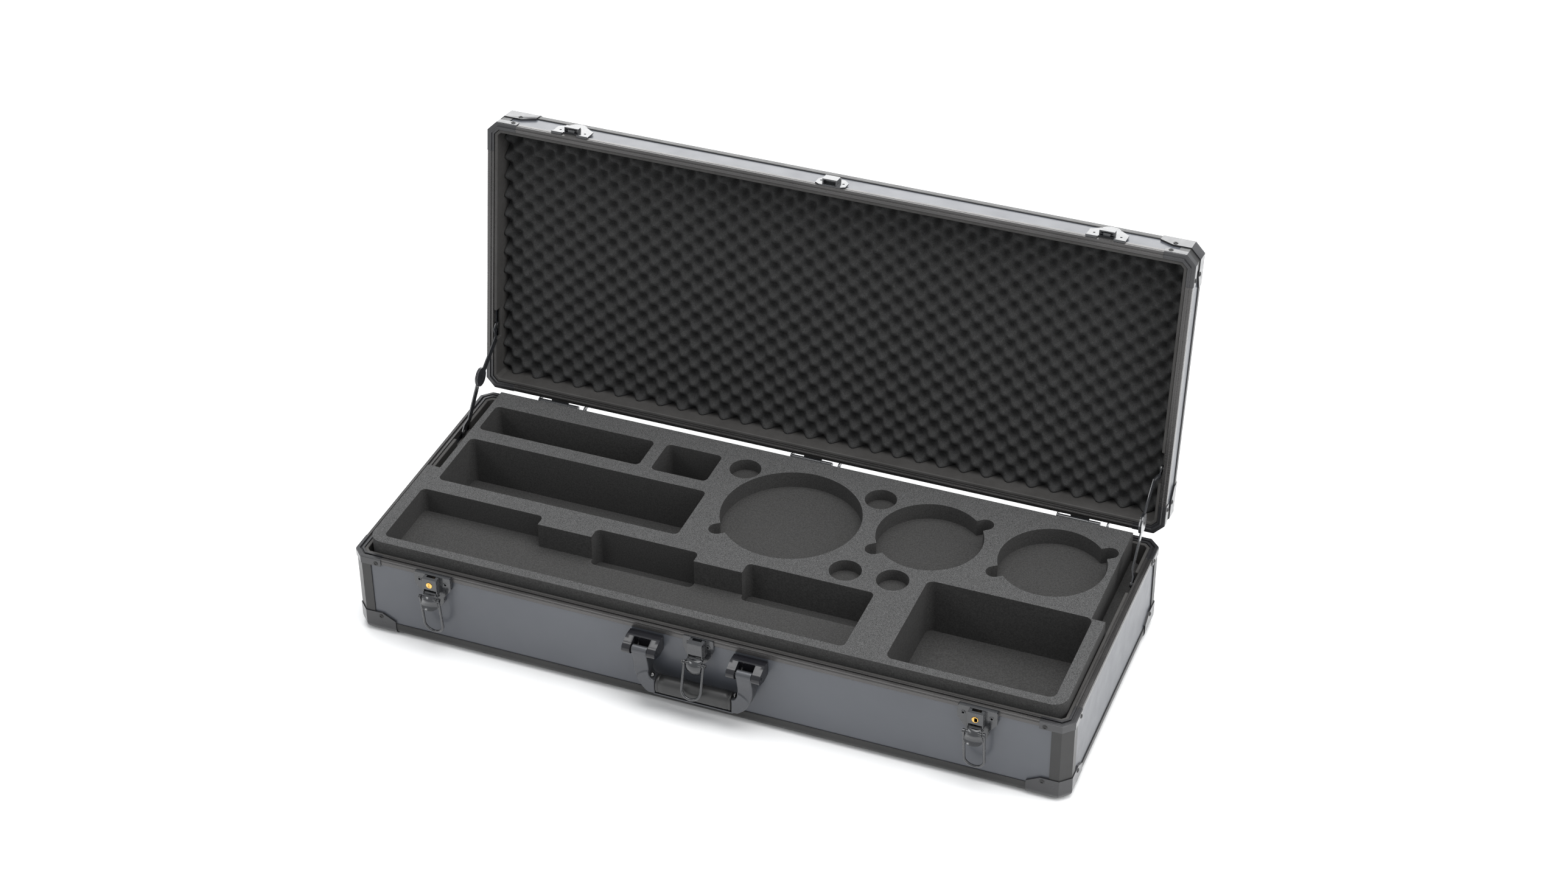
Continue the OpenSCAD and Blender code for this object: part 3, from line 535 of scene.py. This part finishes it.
def arm_piece(name, side):
    """Lofted arm: slices from the eye to the foot, with a raised quarter-round face."""
    slices, across = 84, 30
    top, lowest_span = PIN_Z + 0.5 * MM, ARM_LOW + 0.15 * MM
    verts, faces = [], []
    for j in range(slices + 1):
        z = ARM_LOW + (top - ARM_LOW) * (1 - j / slices)
        inner, outer = arm_span(max(z, lowest_span))
        middle, half = arm_depth(z)
        half *= FOOT_THIN + (1 - FOOT_THIN) * smooth((z - ARM_LOW) / FOOT_ROUND)
        for face_sign in (1, -1):
            for i in range(across + 1):
                t = i / across
                t = t - math.sin(2 * math.pi * t) / (2 * math.pi) * EDGE_CROWDING
                if face_sign < 0:
                    t = 1 - t
                x = inner + (outer - inner) * t
                edge = min(x - inner, outer - x)
                bend = min(ARM_CORNER, (outer - inner) / 2)
                fall = bend - math.sqrt(max(0.0, bend * bend - max(0.0, bend - edge) ** 2))
                reach = half - fall
                if face_sign > 0:
                    above = max(0.0, z - GRIP_Z - FACE_START)
                    oval = math.hypot((x - GRIP_END) / FACE_ACROSS, above / FACE_UP)
                    rim = smooth((outer - x - FACE_RIM) / FACE_RIM_FADE)
                    reach += FACE_LIFT * smooth((1 - oval) / FACE_FADE) * rim
                verts.append((side * x, FRONT - middle - face_sign * reach, z))
    ring = 2 * (across + 1)
    for j in range(slices):
        for i in range(ring):
            a, b = j * ring + i, j * ring + (i + 1) % ring
            quad = (a, b, b + ring, a + ring)
            faces.append(quad if side > 0 else quad[::-1])
    cap = tuple(range(ring))
    foot = tuple(range(slices * ring, (slices + 1) * ring))
    faces.append(cap[::-1] if side > 0 else cap)
    faces.append(foot if side > 0 else foot[::-1])
    smooth_quads(new_piece(name, (verts, [], faces), "handle_arm", "handle", ["handle_frame"]))


def tube_faces(rings, steps):
    """Quads round a stack of rings of points, with a cap at each end."""
    faces = []
    for j in range(rings - 1):
        for k in range(steps):
            a, b = j * steps + k, j * steps + (k + 1) % steps
            faces.append((a, b, b + steps, a + steps))
    faces.append(tuple(range(steps))[::-1])
    faces.append(tuple(range((rings - 1) * steps, rings * steps)))
    return faces


def turned(name, profile, start, along, slot_name, body, replaced=()):
    """A turned piece: profile is [distance along the axis, radius] from start."""
    along = Vector(along).normalized()
    side = along.orthogonal().normalized()
    up = along.cross(side)
    verts = []
    for place, radius in profile:
        for k in range(TURN_STEPS):
            angle = 2 * math.pi * k / TURN_STEPS
            out = (side * math.cos(angle) + up * math.sin(angle)) * radius
            verts.append(Vector(start) + along * place + out)
    piece = new_piece(name, (verts, [], tube_faces(len(profile), TURN_STEPS)), slot_name, body, replaced)
    smooth_quads(piece)
    even_shading(piece)


def eye_profile(length, radius, soft):
    """A plain roller whose two ends are rounded by soft."""
    start = [(0, radius - soft), (soft * 0.3, radius - soft * 0.3), (soft, radius)]
    return start + [(length - along, out) for along, out in reversed(start)]


for side, side_name in ((-1, "left"), (1, "right")):
    arm_piece(f"handle_arm_{side_name}", side)
    start = min(side * ARM_INNER, side * ARM_OUTER)
    turned(f"handle_eye_{side_name}", eye_profile(ARM_OUTER - ARM_INNER, EYE_RADIUS, EYE_SOFT),
           (start, FRONT - PIN_OUT, PIN_Z), (1, 0, 0), "handle_arm", "handle", ["handle_frame"])
    screw = [(along * MM, radius * MM) for along, radius in GRIP_SCREW]
    start = (side * (GRIP_END + SCREW_OUT), FRONT - GRIP_OUT - SCREW_FORWARD, GRIP_HIGH.z + SCREW_UP)
    turned(f"grip_screw_{side_name}", screw, start, (-side, 0, 0), "pin", "handle")

strip = bmesh.new()
bmesh.ops.create_cube(strip, size=1)
for vertex in strip.verts:
    vertex.co.x *= 2 * (GRIP_END + STRIP_INTO_ARM)
    vertex.co.y = FRONT - GRIP_OUT + vertex.co.y * STRIP_DEEP
    vertex.co.z = ARM_LOW + STRIP_UP + vertex.co.z * STRIP_THICK
rounded(new_piece("handle_under_strip", strip, "handle_arm", "handle", ["handle_frame"]), STRIP_EDGE, 3)


# The grip's ends: distances in from the end and how much slimmer it is there, mm
GRIP_GROOVE = [(0, 1.4), (0.4, 0.5), (1.2, 0), (3.0, 0), (3.3, 0.35), (3.8, 0.35), (4.1, 0)]
GRIP_STEPS = 56
GRIP_TOP_POWER = 0.86   # 1 is an ellipse, and less is squarer
GRIP_FOOT_POWER = 0.62


def grip_piece():
    """Oval rubber grip: rounded ends and a shallow groove near each of them."""
    steps, verts, faces = GRIP_STEPS, [], []
    half = GRIP_HIGH.x
    deep, tall = (GRIP_HIGH.y - GRIP_LOW.y) / 2, (GRIP_HIGH.z - GRIP_LOW.z) / 2
    middle = Vector((0, (GRIP_HIGH.y + GRIP_LOW.y) / 2, (GRIP_HIGH.z + GRIP_LOW.z) / 2))
    stations = [(-half + d * MM, f * MM) for d, f in GRIP_GROOVE]
    stations += [(x * half / 9, 0) for x in range(-7, 8)]
    stations += [(half - d * MM, f * MM) for d, f in reversed(GRIP_GROOVE)]
    for x, inset in stations:
        for k in range(steps):
            angle = 2 * math.pi * k / steps
            c, s = math.cos(angle), math.sin(angle)
            power = GRIP_TOP_POWER if s > 0 else GRIP_FOOT_POWER
            y = math.copysign(abs(c) ** power, c) * (deep - inset)
            z = math.copysign(abs(s) ** power, s) * (tall - inset)
            verts.append(middle + Vector((x, y, z)))
    for j in range(len(stations) - 1):
        for k in range(steps):
            a, b = j * steps + k, j * steps + (k + 1) % steps
            faces.append((a, a + steps, b + steps, b))
    faces.append(tuple(range(steps)))
    faces.append(tuple(range((len(stations) - 1) * steps, len(stations) * steps))[::-1])
    smooth_quads(new_piece("handle_grip_rubber", (verts, [], faces), "grip", "handle", ["handle_grip"]))


grip_piece()


# ---- Latch levers ------------------------------------------------------------------------------
# Side view of a lever, mm: distances out from and up from the bail's axle, from the pivot to the tip
SPOON_CURVE = [(-4.0, 4.2), (-1.2, 3.7), (1.4, 2.2), (3.8, -1.4), (4.5, -6.0), (3.3, -10.6), (1.2, -13.8)]
FLARED_CURVE = [(-4.0, 4.2), (-1.2, 3.7), (1.3, 2.1), (3.8, -1.4), (3.8, -4.9), (4.8, -8.4), (7.2, -11.4)]
# The tongues' half widths: at the neck and how much they grow (mm), where along the tongue they grow,
# where the round tip starts, how square the tip is, and the least share of the width that it keeps
SPOON_WIDTH = {
    "neck": 6.6, "growth": 2.3, "start": 0.0, "length": 0.3, "tip": 0.5, "power": 2.4, "least": 0.12,
}
FLARED_WIDTH = {
    "neck": 6.6, "growth": 3.8, "start": 0.2, "length": 0.6, "tip": 0.82, "power": 2.6, "least": 0.55,
}
LEVER_THICK = 1.3 * MM
LEVER_WRAP = 2.9 * MM       # how far the tongue's sides curl back
LEVER_WRAP_AT = 8.7 * MM    # at this distance from its middle
LEVER_WRAP_START = 0.35     # the share of its length over which the curl sets in
KNUCKLE = (13.4 * MM, 2.4 * MM)     # length and radius
BEAD = (16.8 * MM, 2.0 * MM)
ROLLER_SOFT = 0.4 * MM
NECK_WIDE = 12.8 * MM
NECK_DEEP = 2.2 * MM
NECK_SLOPE = 1.2 * MM
NECK_EDGE = 0.4 * MM


def along_curve(points, v):
    """A point on the smooth curve through the given points, for v from 0 to 1."""
    place = min(v * (len(points) - 1), len(points) - 1.0001)
    k = int(place)
    t = place - k
    before, here, after, last = (points[min(max(k + d, 0), len(points) - 1)] for d in (-1, 0, 1, 2))
    return tuple(
        0.5 * (2 * h + (a - b) * t + (2 * b - 5 * h + 4 * a - e) * t * t + (3 * h - b - 3 * a + e) * t ** 3)
        for b, h, a, e in zip(before, here, after, last)
    )


def half_width(v, neck, growth, start, length, tip, power, least):
    """Half the tongue's width at v, falling off in a round tip."""
    turn = max(0.0, (v - tip) / (1 - tip))
    share = max(least, max(0.0, 1 - turn ** power) ** (1 / power))
    return (neck + growth * smooth((v - start) / length)) * MM * share


def lever_piece(latch):
    """Convex lever: a domed tongue with a rounded tip, hung from its knuckles."""
    body = f"{latch}_lever"
    pin = Vector(joints[f"{latch}_lever_lift"]["pos_m"])
    axle = Vector(joints[f"{latch}_bail_swing"]["pos_m"])
    curve, widths = (SPOON_CURVE, SPOON_WIDTH) if latch == "centre" else (FLARED_CURVE, FLARED_WIDTH)
    across, down = 20, 30
    verts, faces = [], []
    for layer in (0, 1):
        for j in range(down + 1):
            v = j / down
            out, rise = along_curve(curve, v)
            half_w = half_width(v, **widths)
            for i in range(across + 1):
                u = 2 * i / across - 1
                wrap = LEVER_WRAP * (u * half_w / LEVER_WRAP_AT) ** 2 * smooth(v / LEVER_WRAP_START)
                y = axle.y - out * MM + wrap + layer * LEVER_THICK
                verts.append((axle.x + u * half_w, y, axle.z + rise * MM))
    row = across + 1
    count = row * (down + 1)
    for j in range(down):
        for i in range(across):
            a = j * row + i
            faces.append((a, a + row, a + row + 1, a + 1))
            faces.append((count + a, count + a + 1, count + a + row + 1, count + a + row))
    rim = list(range(across + 1)) + [j * row + across for j in range(1, down + 1)]
    rim += [down * row + i for i in range(across - 1, -1, -1)] + [j * row for j in range(down - 1, 0, -1)]
    for k, a in enumerate(rim):
        b = rim[(k + 1) % len(rim)]
        faces.append((a, b, count + b, count + a))
    piece = new_piece(f"{latch}_lever_tongue", (verts, [], faces), "hardware", body, [f"{latch}_lever"])
    for face in piece.data.polygons:
        face.use_smooth = True
    for word, (length, radius), middle in (("knuckle", KNUCKLE, pin), ("bead", BEAD, axle)):
        turned(f"{latch}_lever_{word}", eye_profile(length, radius, ROLLER_SOFT),
               middle - Vector((length / 2, 0, 0)), (1, 0, 0), "hardware", body, [f"{latch}_lever"])
    neck = bmesh.new()
    bmesh.ops.create_cube(neck, size=1)
    link = axle - pin
    for vertex in neck.verts:
        x, y, along = vertex.co.x, vertex.co.y, vertex.co.z + 0.5
        vertex.co = pin + link * along + Vector((x * NECK_WIDE, y * NECK_DEEP, y * NECK_SLOPE))
    rounded(new_piece(f"{latch}_lever_neck", neck, "hardware", body, [f"{latch}_lever"]), NECK_EDGE, 2)


for latch in ("left", "centre", "right"):
    lever_piece(latch)

# ---- Studio ------------------------------------------------------------------------------------
FLOOR = 14              # half the floor's side
WORLD_COLOUR = (0.96, 0.98, 1.0, 1)
WORLD_STRENGTH = 0.75

floor_mesh = bpy.data.meshes.new("floor")
floor_corners = [(FLOOR * x, FLOOR * y, 0) for x, y in ((-1, -1), (1, -1), (1, 1), (-1, 1))]
floor_mesh.from_pydata(floor_corners, [], [(0, 1, 2, 3)])
floor = bpy.data.objects.new("floor", floor_mesh)
scene.collection.objects.link(floor)
floor_paint = Shader("floor_white", roughness=0.9)
floor_paint.colour(floor_paint.noise(scale=3, detail=2), low=grey(0.86), high=grey(0.88))
floor.data.materials.append(floor_paint.material)

world = bpy.data.worlds.new("world")
scene.world = world
world.use_nodes = True
background = world.node_tree.nodes["Background"]
background.inputs["Color"].default_value = WORLD_COLOUR
background.inputs["Strength"].default_value = WORLD_STRENGTH


def softbox(name, place, target, size, power):
    """A rectangular area light of so many watts, facing the target."""
    data = bpy.data.lights.new(name, "AREA")
    data.shape = "RECTANGLE"
    data.size, data.size_y = size
    data.energy = power
    lamp = bpy.data.objects.new(name, data)
    lamp.location = place
    lamp.rotation_euler = (Vector(target) - Vector(place)).to_track_quat("-Z", "Y").to_euler()
    scene.collection.objects.link(lamp)


softbox("key_top", (0.3, 0.2, 3.0), (0, 0, 0), (3.4, 2.4), 120)
softbox("side_right", (3.2, -0.2, 1.6), (0, 0, 0.1), (2.0, 2.4), 58)
softbox("front_left", (-2.6, -2.6, 2.4), (0, 0, 0.1), (1.0, 1.0), 22)
softbox("back", (-1.2, 3.8, 1.3), (0, 0, 0.3), (4.5, 1.6), 78)
scene.view_settings.view_transform = "Standard"
scene.view_settings.look = "None"
